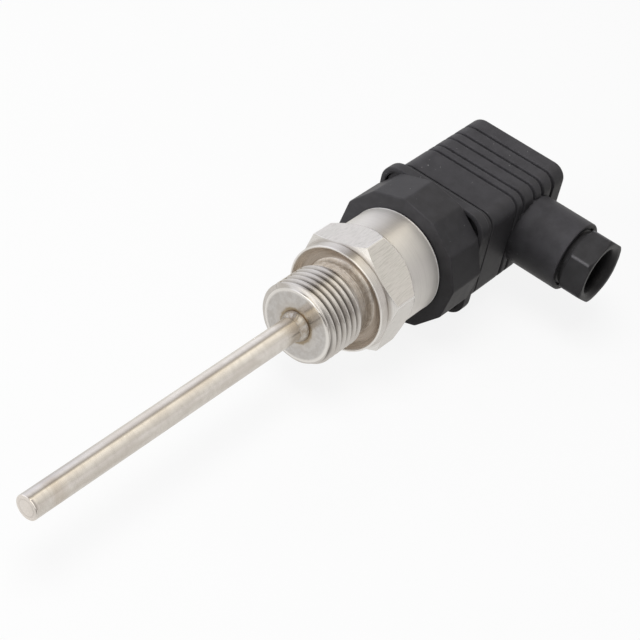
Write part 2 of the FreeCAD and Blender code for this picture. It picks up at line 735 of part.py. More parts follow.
def make_terminals():
    """Contact carrier that fills the front of the chamber, with a clip and a screw for each blade."""
    fit = "(box_wall + insert_fit)"
    carrier = rounded_block("insert_block", f"box_half_width - {fit}", f"box_half_height - {fit}",
                            "box_corner - box_wall / 2", INSERT_FRONT, "insert_length")
    tools = [rod("insert_passage", "screw_passage", f"{INSERT_FRONT} - overrun",
                 "insert_length + 2 * overrun")]
    clip_start = f"({INSERT_FRONT} + clip_front)"
    clip_length = f"({INSERT_REAR} - {clip_start})"
    slit = ("blade_width + 2 * slip_fit", "blade_thick + 2 * slip_fit")
    for name, axis, side in pin_places():
        tools.append(at_pin(f"{name}_chamber", axis, side, clip_start, f"{clip_length} + overrun",
                            "clip_width + 2 * blade_fit", "clip_thick + 2 * blade_fit", "-clip_inset"))
        tools.append(at_pin(f"{name}_mouth", axis, side, f"{INSERT_FRONT} - overrun",
                            "clip_front + 2 * overrun", *slit))
    node("terminal_insert", cut("insert", carrier, tools))
    names = ("socket_contact_1", "socket_contact_2", "socket_contact_3", "socket_ground")
    for step, (name, (pin, axis, side)) in enumerate(zip(names, pin_places()), start=1):
        whole = at_pin(f"{name}_block", axis, side, clip_start, clip_length, "clip_width", "clip_thick",
                       "-clip_inset")
        gap = at_pin(f"{name}_gap", axis, side, f"{clip_start} - overrun",
                     f"{BLADE_END} - {clip_start} + overrun + slip_fit", *slit)
        middle = f"{side} * (blade_circle - clip_inset)"
        across = middle if axis == "y" else "0"
        up = middle if axis == "z" else "0"
        shank = f"({INSERT_REAR} - terminal_screw_length)"
        screw = ("terminal_screw_radius", shank, "terminal_screw_length", across, up)
        bore = rod(f"{name}_bore", *screw)
        node(name, cut(f"{name}_clip", whole, [gap, bore]))
        stem = rod(f"terminal_stem_{step}", *screw)
        head = rod(f"terminal_head_{step}", "terminal_head_radius", INSERT_REAR, "terminal_head_height",
                   across, up)
        slot = at_pin(f"terminal_slot_{step}", axis, side, f"{INSERT_REAR} + terminal_head_height / 2",
                      "terminal_head_height", "2 * terminal_head_radius", "head_slot", "-clip_inset")
        slotted = cut(f"terminal_top_{step}", head, [slot])
        node(f"terminal_screw_{step}", fuse(f"terminal_screw_{step}_whole", [stem, slotted]))


def make_fixing_screw():
    """Long screw from the socket's back into the plug's bush, and the seal under its head."""
    stem = rod("fixing_stem", "screw_radius", SCREW_TIP, f"{HEAD_SEAT} - {SCREW_TIP}")
    head = rod("fixing_head", "head_radius", HEAD_SEAT, "head_height")
    slot = box("fixing_slot", (f"{HEAD_SEAT} + head_height / 2", "-head_radius - overrun", "-head_slot / 2"),
               ("head_height", "2 * head_radius + 2 * overrun", "head_slot"))
    top = cut("fixing_top", head, [slot])
    node("fixing_screw", fuse("fixing_screw_whole", [stem, top]))
    seat = f"({HEAD_SEAT} - seal_thick)"
    disc = rod("screw_seal_disc", "head_radius", seat, "seal_thick")
    hole = rod("screw_seal_hole", "screw_radius + screw_clearance", seat, "seal_thick")
    node("screw_seal", cut("screw_seal_ring", disc, [hole]))


def make_gland():
    """Grommet, washer and hexagon pressure screw in the cable outlet."""
    turned("cable_seal", [
        ("gland_seat", "seal_bore"), ("gland_seat", "seal_radius"), (SEAL_OUT, "seal_radius"),
        (SEAL_OUT, "seal_bore")], on_outlet)
    turned("thrust_washer", [
        (SEAL_OUT, "washer_bore"), (SEAL_OUT, "seal_radius"), (WASHER_OUT, "seal_radius"),
        (WASHER_OUT, "washer_bore")], on_outlet)
    body = body_named("gland_nut_body")
    lip = f"({HEAD_OUT} - nut_lip)"
    corner = "nut_across / 2 / cos(30 deg)"
    spin(body, "nut_turning", [
        (WASHER_OUT, "nut_bore"), (WASHER_OUT, "nut_thread"), ("outlet_reach - nut_shoulder", "nut_thread"),
        ("outlet_reach", "nut_neck"), (HEAD_IN, "nut_neck"), (HEAD_IN, f"{corner} - nut_bevel"),
        (f"{HEAD_IN} + nut_inner_bevel", corner), (f"{HEAD_OUT} - nut_bevel", corner),
        (HEAD_OUT, f"{corner} - nut_bevel"), (HEAD_OUT, "nut_bore + nut_flare"),
        (f"{HEAD_OUT} - nut_flare_depth", "nut_bore + nut_flare_depth"), (lip, "nut_bore")])
    frame = sketch_on(body, "nut_hexagon_outline", "YZ_Plane", HEAD_IN)
    add_polygon(frame, regular(6, "nut_across", "nut_turn"))
    add_circle(frame, "0", "0", "nut_across")
    pocket(body, frame, "nut_milling", "nut_head")
    on_outlet(body)
    node("gland_nut", body)


def check_document():
    """Stop if any object failed, or any piece is empty or not valid."""
    failed = [item.Name for item in doc.Objects if {"Invalid", "Error"} & set(item.State)]
    if failed:
        raise RuntimeError(f"objects that failed: {failed}")
    for label, item in NODES.items():
        shape = item.Shape
        if shape.isNull() or not shape.isValid() or not shape.Solids:
            raise RuntimeError(f"{label} has no valid solid")


def write_parts():
    os.makedirs("parts", exist_ok=True)
    for label, item in NODES.items():
        item.Shape.exportStep(os.path.join("parts", f"{label}.step"))


make_stem()
make_measuring_insert()
make_fitting()
make_ring()
make_plug_base()
make_board()
make_gasket()
make_housing()
make_terminals()
make_fixing_screw()
make_gland()
doc.recompute()
check_document()
write_parts()
for label, item in NODES.items():
    print(label, len(item.Shape.Solids), round(item.Shape.Volume, 2))
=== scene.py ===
import bmesh
import bpy
import math
from mathutils import Matrix, Vector


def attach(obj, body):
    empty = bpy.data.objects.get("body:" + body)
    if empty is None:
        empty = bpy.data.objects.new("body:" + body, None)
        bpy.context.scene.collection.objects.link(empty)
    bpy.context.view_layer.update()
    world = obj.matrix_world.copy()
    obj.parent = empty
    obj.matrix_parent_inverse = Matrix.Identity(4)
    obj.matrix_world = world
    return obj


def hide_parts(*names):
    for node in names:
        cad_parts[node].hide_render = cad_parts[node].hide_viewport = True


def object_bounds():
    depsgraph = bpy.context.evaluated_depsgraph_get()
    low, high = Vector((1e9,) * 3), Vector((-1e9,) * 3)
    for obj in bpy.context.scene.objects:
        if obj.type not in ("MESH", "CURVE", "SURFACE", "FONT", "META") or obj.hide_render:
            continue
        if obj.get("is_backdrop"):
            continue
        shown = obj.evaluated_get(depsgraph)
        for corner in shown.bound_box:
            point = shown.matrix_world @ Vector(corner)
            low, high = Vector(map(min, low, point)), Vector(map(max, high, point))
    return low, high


# Insertion temperature sensor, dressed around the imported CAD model.
# Frame: X along the sensor's axis, origin in the plane of the sealing rim, cable outlet to -Y.
# Shapes are written in millimetres and turned into metres where a mesh is made.

MM = 0.001
FULL_TURN = 2 * math.pi
SHARP_EDGE = math.radians(30)
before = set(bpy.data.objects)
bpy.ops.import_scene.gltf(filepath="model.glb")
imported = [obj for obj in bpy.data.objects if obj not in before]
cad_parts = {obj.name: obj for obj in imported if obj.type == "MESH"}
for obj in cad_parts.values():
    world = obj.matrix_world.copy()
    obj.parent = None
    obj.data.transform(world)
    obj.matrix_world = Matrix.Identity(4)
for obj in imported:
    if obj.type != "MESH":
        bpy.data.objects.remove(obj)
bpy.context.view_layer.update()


def camera():
    """The photograph's viewpoint, from a fit to the thread, the hexagon and the socket."""
    place = (-0.290541, -0.173476, 0.283242)
    right = Vector((0.62847, -0.75959, 0.16748))
    up = Vector((0.42866, 0.51790, 0.74029))
    forward = Vector((0.64906, 0.39346, -0.65109))
    data = bpy.data.cameras.new("photo_camera")
    data.sensor_width = 36.0
    data.lens = 107.76
    data.clip_start = 0.01
    data.clip_end = 20.0
    item = bpy.data.objects.new("photo_camera", data)
    turn = Matrix((right, up, -forward)).transposed()
    item.matrix_world = Matrix.Translation(place) @ turn.to_4x4()
    bpy.context.scene.collection.objects.link(item)
    bpy.context.scene.camera = item


# Shapes round an axis. A row is a function that gives (along, radius) for an angle.

CUTS = 360
FINE_CUTS = 312
NUT_CUTS = 300
OUTLET_CUTS = 180
SMALL_CUTS = 96


def soft_min(first, second, blend):
    """The smaller of two numbers, with the corner between them rounded over the blend's width."""
    near = max(blend - abs(first - second), 0.0) / blend
    return min(first, second) - near * near * blend / 4


def between(value, table):
    """A number read off a table of (place, number) pairs in straight runs."""
    if value <= table[0][0]:
        return table[0][1]
    for (start, low), (end, high) in zip(table, table[1:]):
        if value <= end:
            return low + (high - low) * (value - start) / (end - start)
    return table[-1][1]


def polygon_reach(angle, across, turn, sides):
    """Distance from the axis to a regular polygon's side, with its corners just broken."""
    step = FULL_TURN / sides
    off = (angle - math.radians(turn)) % step - step / 2
    corner = across / 2 / math.cos(step / 2)
    return soft_min(across / 2 / math.cos(off), corner - 0.05, 0.12)


def rounded_reach(angle, half_width, half_height, corner):
    """Distance from the axis to a rectangle with round corners."""
    tiny = 1e-9
    across = abs(math.cos(angle))
    up = abs(math.sin(angle))
    wide = half_width / max(across, tiny)
    if wide * up <= half_height - corner:
        return wide
    high = half_height / max(up, tiny)
    if high * across <= half_width - corner:
        return high
    middle = (half_width - corner, half_height - corner)
    along = middle[0] * across + middle[1] * up
    return along + math.sqrt(along ** 2 - middle[0] ** 2 - middle[1] ** 2 + corner ** 2)


def softened(points, steps=3):
    """The points with small arcs for corners. A point's third number is its arc's reach."""
    result = [tuple(points[0][:2])]
    for before, here, after in zip(points, points[1:], points[2:]):
        middle = Vector(here[:2])
        back = Vector(before[:2]) - middle
        ahead = Vector(after[:2]) - middle
        wanted = here[2] if len(here) > 2 else 0.0
        reach = min(wanted, back.length * 0.45, ahead.length * 0.45)
        if reach < 1e-6:
            result.append(tuple(middle))
            continue
        start = middle + back.normalized() * reach
        end = middle + ahead.normalized() * reach
        for step in range(steps + 1):
            share = step / steps
            point = start.lerp(middle, share).lerp(middle.lerp(end, share), share)
            result.append(tuple(point))
    result.append(tuple(points[-1][:2]))
    return result


def plain(points):
    """Rows from (along, radius) pairs that are the same all round."""
    return [lambda angle, point=point: point for point in points]


def outline(points, steps=3):
    """Rows of a turned surface with its corners softened."""
    return plain(softened(points, steps))


def box_row(along, half_width, half_height, corner, inset=0.0):
    """A row round a rectangle with round corners, pulled in by the inset."""
    least_corner = 0.3
    sizes = (half_width - inset, half_height - inset, max(corner - inset, least_corner))
    return lambda angle: (along, rounded_reach(angle, *sizes))


def box_outline(sizes, points, steps):
    """Rows of a rectangular surface from (along, inset) pairs with their corners softened."""
    return [box_row(along, *sizes, inset) for along, inset in softened(points, steps)]


def mesh_object(name, vertices, faces):
    """A linked object with clean faces, smooth but for its sharp edges."""
    data = bpy.data.meshes.new(name)
    data.from_pydata(vertices, [], faces)
    work = bmesh.new()
    work.from_mesh(data)
    bmesh.ops.remove_doubles(work, verts=work.verts, dist=2e-7)
    bmesh.ops.dissolve_degenerate(work, edges=work.edges, dist=1e-7)
    bmesh.ops.recalc_face_normals(work, faces=work.faces)
    work.to_mesh(data)
    work.free()
    data.shade_smooth()
    data.set_sharp_from_angle(angle=SHARP_EDGE)
    item = bpy.data.objects.new(name, data)
    bpy.context.scene.collection.objects.link(item)
    return item


def skin(name, rows, closed=False, outlet=False, cuts=CUTS, turn=0.0):
    """A skin through rows, about the sensor's axis or the cable outlet's."""
    angles = [math.radians(turn) + FULL_TURN * step / cuts for step in range(cuts)]
    vertices = []
    for row in rows:
        for angle in angles:
            along, radius = row(angle)
            across = radius * math.cos(angle)
            up = radius * math.sin(angle)
            if outlet:
                vertices.append(((OUTLET + across) * MM, -along * MM, up * MM))
            else:
                vertices.append((along * MM, across * MM, up * MM))
    faces = []
    total = len(rows)
    for row in range(total if closed else total - 1):
        low = row * cuts
        high = (row + 1) % total * cuts
        for step in range(cuts):
            after = (step + 1) % cuts
            faces.append((low + step, low + after, high + after, high + step))
    return mesh_object(name, vertices, faces)


def brick(name, low, high):
    """A plain block from its lowest to its highest corner."""
    corners = [(x * MM, y * MM, z * MM) for x in (low[0], high[0]) for y in (low[1], high[1])
               for z in (low[2], high[2])]
    faces = [(0, 1, 3, 2), (4, 6, 7, 5), (0, 4, 5, 1), (2, 3, 7, 6), (0, 2, 6, 4), (1, 5, 7, 3)]
    return mesh_object(name, corners, faces)


def joined_solids(item, tool, operation):
    """Add or cut another closed mesh, and remove it."""
    change = item.modifiers.new("solid", "BOOLEAN")
    change.operation = operation
    change.solver = "EXACT"
    change.object = tool
    view = bpy.context.evaluated_depsgraph_get()
    result = bpy.data.meshes.new_from_object(item.evaluated_get(view), depsgraph=view)
    item.modifiers.clear()
    old = item.data
    item.data = result
    bpy.data.meshes.remove(old)
    bpy.data.objects.remove(tool)
    item.data.shade_smooth()
    item.data.set_sharp_from_angle(angle=SHARP_EDGE)
    return item


# Steel parts: places along the axis, and radii

PITCH = 1.814
CREST = 10.4775
THREAD_DEPTH = 1.162
FIRST_CREST = -12.8
CREST_ANGLE = math.radians(125)
NOSE = -14.0
NOSE_EDGE = (-13.87, 9.25)
NECK = 9.5
NECK_FRONT = -2.0
DISH_FLOOR = 2.4
UNDERCUT = 9.1
COLLAR = 13.5
COLLAR_REAR = 2.5
HEX_ACROSS = 27.0
HEX_TURN = 40.5
HEX_FRONT_CONE = ((2.85, 13.1), (3.95, 15.588))
HEX_REAR_CONE = ((10.05, 15.588), (12.6, 13.45))
HEX_MIDDLE = (6.0, 8.0)
BARREL = 13.45
BARREL_LEAST = 13.43
BARREL_LIP = 13.52
BARREL_REAR = 22.45
SPIGOT = 12.6
SPIGOT_REAR = 29.45
BORE = 10.0
WIRE_BORE = 2.4
STEM = 3.0
STEM_BORE = 2.5
STEM_SEAT = 2.8
SEAT_REAR = -8.0
TUBE_FRONT = -96.4
TIP_FRONT = -97.6
TIP_REAR = -94.9
WELD_FRONT = -16.2
WELD_TOE = 4.0


def thread_radius(along, angle):
    """Radius of the thread's surface: a rounded 55 degree form inside the nose and neck cones."""
    crest_flat = 0.083
    flank = 0.334
    rounding = 0.2
    phase = (along - FIRST_CREST) / PITCH - (angle - CREST_ANGLE) / FULL_TURN
    off = abs(phase - round(phase))
    ramp = (off - crest_flat) / flank
    fall = 1 - soft_min(1 - soft_min(ramp, 1.0, rounding), 1.0, rounding)
    root = between(along, [(-3.6, 9.2), (-3.2, NECK)])
    form = max(CREST - THREAD_DEPTH * max(fall, 0.0), root)
    cone = between(along, [NOSE_EDGE, (-13.35, CREST), (-3.3, CREST), (-2.32, NECK)])
    return soft_min(form, cone, 0.08)


def thread_rows():
    """Rows that follow the helix, closest where the form bends, and stop at nose and neck."""
    half = (0.06, 0.1, 0.14, 0.22, 0.3, 0.37, 0.41, 0.45)
    shares = [-0.5] + [-share for share in reversed(half)] + [0.0] + list(half)
    rows = []
    for place in [crest + share for crest in range(-1, 8) for share in shares]:
        def row(angle, place=place):
            along = FIRST_CREST + (place + (angle - CREST_ANGLE) / FULL_TURN) * PITCH
            along = min(max(along, NOSE_EDGE[0]), NECK_FRONT)
            return along, thread_radius(along, angle)
        rows.append(row)
    return rows


def cone_row(cone, offset, rounding, least=0.0):
    """A row along the line where the hexagon's flats meet a cone, moved on by the offset."""
    (start, low), (end, high) = cone
    slope = (high - low) / (end - start)

    def row(angle):
        reach = polygon_reach(angle, HEX_ACROSS, HEX_TURN, 6)
        along = min(start + (reach - low) / slope + offset, HEX_REAR_CONE[1][0])
        return along, max(soft_min(reach, low + (along - start) * slope, rounding), least)
    return row


def hexagon_rows():
    """Flats cut through a turned blank with a steep front cone and a long rear cone."""
    front = [cone_row(HEX_FRONT_CONE, offset, 0.15) for offset in (-0.15, -0.06, 0.0, 0.06, 0.15)]
    middle = [lambda angle, along=along: (along, polygon_reach(angle, HEX_ACROSS, HEX_TURN, 6))
              for along in HEX_MIDDLE]
    rear = [cone_row(HEX_REAR_CONE, offset, 0.2, BARREL_LEAST) for offset in (-0.4, -0.15, 0.0, 0.15, 0.4)]
    return front + middle + rear


def process_fitting():
    """Thread nose, neck, dished collar, hexagon and barrel in one skin, bored through."""
    socket = STEM_SEAT + 0.03
    face = outline([(SEAT_REAR, socket), (NOSE, socket, 0.05), (NOSE, 9.0, 0.25), NOSE_EDGE], 5)
    dish = outline([
        (NECK_FRONT, NECK), (0.0, NECK, 0.12), (0.4, UNDERCUT, 0.3), (1.6, UNDERCUT, 0.8),
        (DISH_FLOOR, 9.9, 0.8), (DISH_FLOOR, 11.7, 1.1), (0.0, 13.1, 0.1), (0.0, 13.34, 0.1),
        (0.16, COLLAR, 0.1), (COLLAR_REAR, COLLAR, 0.12), (COLLAR_REAR, 13.12, 0.1),
        HEX_FRONT_CONE[0]], 5)
    barrel = outline([
        HEX_REAR_CONE[1], (22.0, BARREL, 0.1), (22.15, BARREL_LIP, 0.06), (22.3, BARREL_LIP, 0.06),
        (BARREL_REAR, 13.4, 0.05), (BARREL_REAR, SPIGOT, 0.05), (SPIGOT_REAR, SPIGOT, 0.2),
        (SPIGOT_REAR, BORE, 0.1), (13.5, BORE, 0.3), (5.9, WIRE_BORE, 0.3),
        (SEAT_REAR, WIRE_BORE, 0.05), (SEAT_REAR, socket)])
    rows = face + thread_rows() + dish + hexagon_rows() + barrel[:-1]
    return skin("hexagon_fitting", rows, closed=True, turn=HEX_TURN)


def stem():
    """The tube, and the end disc that is welded into it."""
    shoulder = -16.15
    tube = skin("stem_sleeve", outline([
        (TUBE_FRONT, STEM_BORE), (TUBE_FRONT, STEM, 0.02), (shoulder, STEM, 0.02),
        (shoulder, STEM_SEAT, 0.02), (SEAT_REAR, STEM_SEAT, 0.02), (SEAT_REAR, STEM_BORE, 0.02),
        (TUBE_FRONT, STEM_BORE)]), cuts=SMALL_CUTS)
    tip = skin("stem_end", outline([
        (TIP_FRONT, 0.0), (TIP_FRONT, STEM, 0.5), (-96.9, STEM), (TUBE_FRONT, STEM, 0.02),
        (TUBE_FRONT, STEM_BORE, 0.02), (TIP_REAR, STEM_BORE, 0.1), (TIP_REAR, 0.0)]), cuts=SMALL_CUTS)
    return tube, tip


def weld():
    """Ring weld at the nose: overlapping ripples from a weld that went round in steps."""
    least = STEM - 0.01
    points = softened([(WELD_FRONT, least), (-15.75, 3.15, 0.3), (-14.85, 3.75, 0.6), (NOSE, WELD_TOE)], 5)
    points = [point for before, point in zip([None] + points, points) if point != before]
    length = 2.2
    ripples = 26
    ripple_height = 0.035
    rows = []
    for along, radius in points:
        def row(angle, along=along, radius=radius):
            share = (along - WELD_FRONT) / length
            phase = (angle * ripples / FULL_TURN + 0.9 * share * share) % 1.0
            height = math.sin(math.pi * share) * (0.5 + 0.5 * math.cos(FULL_TURN * phase ** 0.6))
            sway = 0.05 * math.sin(3 * angle + 0.6) + 0.04 * math.sin(7 * angle)
            edge = 0.0 if share > 0.99 else sway * (1 - share)
            return along - edge, max(radius + ripple_height * height - 0.05, least)
        rows.append(row)
    inside = STEM_SEAT + 0.01
    rear = NOSE + 0.02
    rows += plain([(rear, WELD_TOE), (rear, inside), (WELD_FRONT, inside)])
    return skin("ring_weld", rows, closed=True, cuts=FINE_CUTS)


def fixing_screw():
    """Long screw from the socket's back, with a slotted cheese head."""
    shank = 1.5
    head = 2.8
    under_head = 69.15
    top = 71.15
    item = skin("slotted_screw", outline([
        (35.9, 0.0), (35.9, 1.25), (36.2, shank, 0.1), (under_head, shank, 0.05),
        (under_head, head, 0.1), (top, head, 0.35), (top, 0.0)]), cuts=SMALL_CUTS)
    return joined_solids(item, brick("slot_tool", (70.15, -3.5, -0.4), (72.0, 3.5, 0.4)), "DIFFERENCE")


# Moulded parts. A box is (half width, half height, corner radius).

RING_ACROSS = 34.0
RING_TURN = 26.0
RING_BORE = 12.65
RING_FRONT = 22.7
RING_REAR = 33.9
SKIRT = (15.4, 15.1, 4.8)
SKIRT_WALL = 1.3
SKIRT_FLOOR = 34.8
SKIRT_REAR = 36.8
HUB = 14.2
PIN_BLOCK = (10.6, 10.6, 2.65)
PLATE_REAR = 39.7
BLOCK_REAR = 42.9
BLADES_OFF_AXIS = 9.0
BLADE_SLOT = (0.42, 3.17)
BLADE_SLOT_ENDS = (36.0, 43.5)
BOX = (14.4, 13.0, 3.8)
BOX_FRONT = 40.05
BOX_REAR = 71.35
CHAMBER_REAR = 66.95
GROOVES = (50.3, 53.3, 57.9, 61.4, 65.9)
GROOVE_DEPTH = 0.75
OUTLET = 59.4
OUTLET_RADIUS = 9.25
OUTLET_BORE = 8.0
OUTLET_WAY = 6.4
OUTLET_END = 28.6
NUT_ACROSS = 16.0
NUT_TURN = 22.0
NUT_BORE = 5.6
NUT_NECK = 7.2


def twelve_sided_ring():
    """Black ring with twelve flats. Its corners and face edges are just rounded, as moulded."""
    def flat_row(along, inset):
        return lambda angle: (along, polygon_reach(angle, RING_ACROSS - 2 * inset, RING_TURN, 12))

    edge = softened([(RING_FRONT, 1.2), (RING_FRONT, 0.0, 0.35), (RING_REAR, 0.0, 0.35),
                     (RING_REAR, 1.2)], 4)
    rows = [flat_row(along, inset) for along, inset in edge]
    rows += outline([(RING_REAR, 14.0), (RING_REAR, RING_BORE, 0.15), (RING_FRONT, RING_BORE, 0.25),
                     (RING_FRONT, 14.0)])
    return skin("twelve_flat_ring", rows, closed=True, turn=RING_TURN)


def hollow_row(along, on_hub=False):
    """A row in the hollow corners of the flange, on the round hub's wall or on the skirt's."""
    sizes = (SKIRT[0] - SKIRT_WALL, SKIRT[1] - SKIRT_WALL, SKIRT[2] - SKIRT_WALL / 2)

    def row(angle):
        inner = rounded_reach(angle, *sizes)
        depth = along if inner > HUB + 0.02 else RING_REAR
        return depth, HUB if on_hub else max(inner, HUB)
    return row


def plug_base():
    """Flange between the ring and the socket: a raised rim with hollow corners, and the pin block."""
    front = RING_REAR - 3.9
    rows = outline([(front, BORE), (front, SPIGOT, 0.2), (RING_REAR, SPIGOT, 0.05), (RING_REAR, HUB)])
    rows += [hollow_row(SKIRT_FLOOR, on_hub=True), hollow_row(SKIRT_FLOOR), hollow_row(RING_REAR + 0.2)]
    rows += [box_row(RING_REAR + 0.06, *SKIRT, 1.24), box_row(RING_REAR, *SKIRT, 1.1)]
    rows += box_outline(SKIRT, [(RING_REAR, 0.6), (RING_REAR, 0.0, 0.35), (SKIRT_REAR, 0.0, 1.1),
                                (SKIRT_REAR, 1.0, 0.2)], 4)
    rows += box_outline(BOX, [(SKIRT_REAR, 0.0), (PLATE_REAR, 0.0, 0.3), (PLATE_REAR, 2.0)], 4)
    rows += box_outline(PIN_BLOCK, [(PLATE_REAR, 0.0), (BLOCK_REAR, 0.0, 0.3), (BLOCK_REAR, 4.0)], 4)
    rows += plain([(BLOCK_REAR, 2.6), (36.5, 2.6), (36.5, BORE)])
    item = skin("flange_base", rows, closed=True)
    thin, wide = BLADE_SLOT
    low, high = BLADE_SLOT_ENDS
    for side in (BLADES_OFF_AXIS, -BLADES_OFF_AXIS):
        slot = brick("slot_tool", (low, side - thin, -wide), (high, side + thin, wide))
        joined_solids(item, slot, "DIFFERENCE")
    for side in (BLADES_OFF_AXIS, -BLADES_OFF_AXIS):
        slot = brick("slot_tool", (low, -wide, side - thin), (high, wide, side + thin))
        joined_solids(item, slot, "DIFFERENCE")
    return item


def housing_rows():
    """The housing's skin from the parting line over its grooves to the rear face."""
    mouth = 0.52
    bottom = 0.34
    points = [(BOX_FRONT, 2.0), (BOX_FRONT, 0.0, 0.3)]
    for place in GROOVES:
        points += [(place - mouth, 0.0, 0.34), (place - bottom, GROOVE_DEPTH, 0.16),
                   (place + bottom, GROOVE_DEPTH, 0.16), (place + mouth, 0.0, 0.34)]
    points += [(BOX_REAR, 0.0, 1.9), (BOX_REAR, 2.4)]
    return box_outline(BOX, points, 5)


def socket_housing():
    """Grooved box with the recess for the screw's head, a hollow inside and a round outlet."""
    recess_floor = BOX_REAR - 3.0
    rows = housing_rows()
    rows += plain([(BOX_REAR, 3.2), (recess_floor, 3.2), (recess_floor, 1.6), (CHAMBER_REAR, 1.6)])
    rows += box_outline(BOX, [(CHAMBER_REAR, 4.0), (CHAMBER_REAR, 2.2, 0.4), (40.6, 2.2),
                              (40.6, 0.95), (BOX_FRONT, 0.95)], 3)
    item = skin("grooved_housing", rows, closed=True)
    boss = skin("outlet_boss", outline([
        (10.0, OUTLET_WAY), (10.0, OUTLET_RADIUS), (OUTLET_END, OUTLET_RADIUS, 0.45),
        (OUTLET_END, OUTLET_BORE, 0.25), (16.6, OUTLET_BORE), (16.6, OUTLET_WAY, 0.2),
        (10.0, OUTLET_WAY)]), outlet=True, cuts=OUTLET_CUTS)
    way = skin("outlet_way", outline([
        (8.0, 0.0), (8.0, OUTLET_WAY), (16.0, OUTLET_WAY), (16.0, 0.0)]), outlet=True, cuts=OUTLET_CUTS)
    inner = brick("chamber_tool", (BOX_FRONT + 1.0, -12.2, -10.8), (CHAMBER_REAR - 0.01, 12.2, 10.8))
    joined_solids(boss, inner, "DIFFERENCE")
    joined_solids(item, boss, "UNION")
    return joined_solids(item, way, "DIFFERENCE")


def gland_nut():
    """Hexagon pressure screw: neck in the boss, six flats, a rounded mouth and a smooth bore."""
    inner_end = 22.0
    head_in = 29.95
    head_out = 36.25
    corner = NUT_ACROSS / 2 / math.cos(math.pi / 6)
    cone = [(head_in, corner - 0.95), (head_in + 0.45, corner), (head_out - 0.75, corner),
            (head_out - 0.3, corner - 0.42), (head_out - 0.08, corner - 0.75), (head_out, corner - 1.1)]

    def head_row(along):
        return lambda angle: (along, soft_min(polygon_reach(angle, NUT_ACROSS, NUT_TURN, 6),
                                              between(along, cone), 0.35))

    rows = outline([(inner_end, NUT_BORE), (inner_end, 7.95, 0.2), (27.9, 7.95, 0.2), (28.5, NUT_NECK, 0.1),
                    (head_in, NUT_NECK, 0.1), (head_in, 7.9)])
    rows += [head_row(head_in + step) for step in (0.0, 0.12, 0.35, 0.8)]
    rows += [head_row(along) for along in (32.0, 34.0)]
    rows += [head_row(head_out - step) for step in (1.1, 0.8, 0.55, 0.3, 0.12, 0.0)]
    mouth = outline([(head_out, 7.9), (head_out, 7.05, 0.6), (head_out - 0.7, 6.0, 0.9),
                     (head_out - 2.2, NUT_BORE, 0.6), (inner_end, NUT_BORE)], 6)
    return skin("pressure_screw", rows + mouth[:-1], closed=True, outlet=True, turn=NUT_TURN, cuts=NUT_CUTS)


# Materials. A colour is three numbers, and a mask is 1 where a layer shows and 0 where it doesn't.

WHITE = (1.0, 1.0, 1.0)
STEEL = (0.74, 0.715, 0.685)
STEEL_DULL = (0.66, 0.63, 0.595)
# painted highlight for the nose edge and the collar rim
STEEL_EDGE_HIGHLIGHT = (0.93, 0.91, 0.88)
BARREL_STEEL = (0.80, 0.78, 0.75)
# painted highlight for the barrel's lip
BARREL_LIP_HIGHLIGHT = (0.93, 0.92, 0.90)
# painted highlight for the hexagon's corners
HEX_CORNER_HIGHLIGHT = (0.92, 0.91, 0.89)
TURNING_LINE = (0.5, 0.48, 0.46)
TOOL_MARK = (0.38, 0.325, 0.27)
# painted shade for the thread's grooves
GROOVE_SHADE = (0.20, 0.185, 0.17)
NOSE_WORN = ((0.66, 0.65, 0.64), (0.56, 0.54, 0.52))
NECK_STAINED = ((0.80, 0.75, 0.69), (0.62, 0.56, 0.49))
DISH_STAINED = ((0.44, 0.37, 0.305), (0.68, 0.61, 0.53))
HEAT_STRAW = (0.66, 0.60, 0.52)
HEAT_BROWN = (0.38, 0.31, 0.22)
MILLED_PATCH = (0.68, 0.67, 0.63)
MILLING_MARK = (0.56, 0.54, 0.51)
STEM_TONES = ((0.82, 0.785, 0.735), (0.71, 0.665, 0.61))
STEM_RUB = (0.66, 0.62, 0.57)
STEM_HEAT = (0.60, 0.51, 0.39)
STEM_BAND = (0.58, 0.50, 0.41)
STEM_SHADE = (0.52, 0.51, 0.545)
TIP_FACE = (0.95, 0.90, 0.85)
TIP_RING = (0.80, 0.755, 0.71)
WELD_TONES = ((0.60, 0.57, 0.53), (0.49, 0.43, 0.36))
WELD_BURN = (0.20, 0.13, 0.08)


def opaque(value):
    """A colour for a socket, with its alpha. An output of another node stays as it is."""
    return value + (1.0,) if isinstance(value, tuple) else value


def grey(value, violet=0.0):
    """A grey, turned towards violet blue."""
    return (value, value * (1 - 0.5 * violet), value * (1 + violet))


